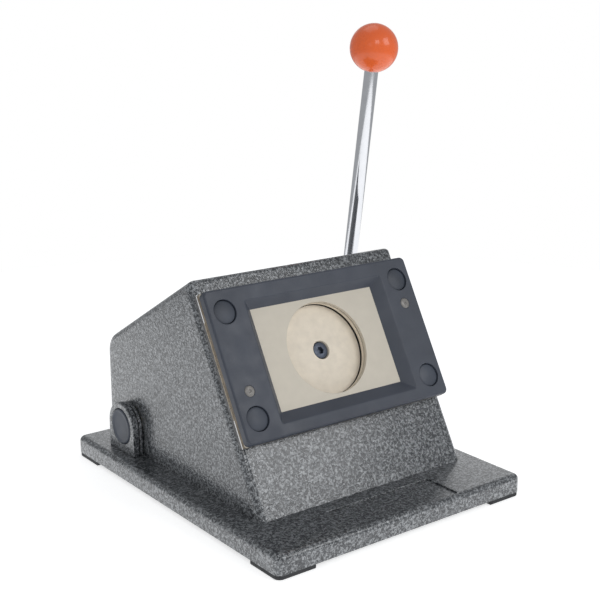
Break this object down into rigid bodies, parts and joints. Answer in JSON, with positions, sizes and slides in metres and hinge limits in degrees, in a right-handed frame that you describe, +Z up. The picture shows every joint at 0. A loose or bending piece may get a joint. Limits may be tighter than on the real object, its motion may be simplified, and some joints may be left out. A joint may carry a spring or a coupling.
{
  "type": "lever die cutter for badge artwork",
  "caption": "Table-top lever die cutter with a leaned black window frame, round steel die and punch, and an orange ball lever.",
  "frame": {"origin": "on the table plane under the middle of the whole object", "axes": "+X to the object's right as its user faces it, -Y out of the front towards the user, +Z up"},
  "size_m": [0.2486, 0.276, 0.3426],
  "materials": {
    "hammertone": "satin",
    "rubber": "matte",
    "plain_steel": "brushed",
    "champagne_steel": "satin",
    "black_plastic": "satin",
    "cast_guide": "matte",
    "bronze": "satin",
    "dark_screw": "satin",
    "urethane": "satin",
    "chrome": "polished",
    "orange_plastic": "gloss"
  },
  "bodies": {
    "stand": {"base_tray": "hammertone", "rubber_feet": "rubber", "housing_shell": "hammertone", "guide_plate": "plain_steel", "slot_strips": "plain_steel", "die_plate": "champagne_steel", "front_frame": "black_plastic", "frame_screws": "plain_steel", "frame_plugs": "black_plastic", "dowel_pins": "plain_steel", "punch_guide": "cast_guide", "guide_bush": "bronze", "guide_screws": "dark_screw", "ear_left": "hammertone", "ear_right": "hammertone", "inner_ears": "hammertone", "shaft_bushes": "bronze", "ear_cap": "black_plastic", "return_spring": "urethane"},
    "lever": {"cam_shaft": "plain_steel", "shaft_ring": "plain_steel", "cam": "plain_steel", "shaft_keys": "plain_steel", "lever_hub": "plain_steel", "hub_screw": "dark_screw", "hub_cap": "black_plastic", "lever_rod": "chrome", "ball_knob": "orange_plastic"},
    "punch": {"punch_disc": "champagne_steel", "punch_screw": "dark_screw", "punch_ram": "plain_steel", "spring_seat": "plain_steel", "cam_follower": "plain_steel"}
  },
  "joints": [
    {"name": "lever_swing", "type": "hinge", "parent": "stand", "child": "lever", "pos_m": [0, 0.085, 0.0375], "axis": [1, 0, 0], "range_deg": [0, 70]},
    {"name": "punch_slide", "type": "slide", "parent": "stand", "child": "punch", "axis": [0, -0.8704, 0.4924], "range_m": [0, 0.0091], "stiffness_N_per_m": 6000, "springref_m": -0.006, "deforming": ["return_spring"]}
  ],
  "couplings": [
    {"joint": "punch_slide", "follows": "lever_swing", "m_per_rad": 0.007367}
  ]
}
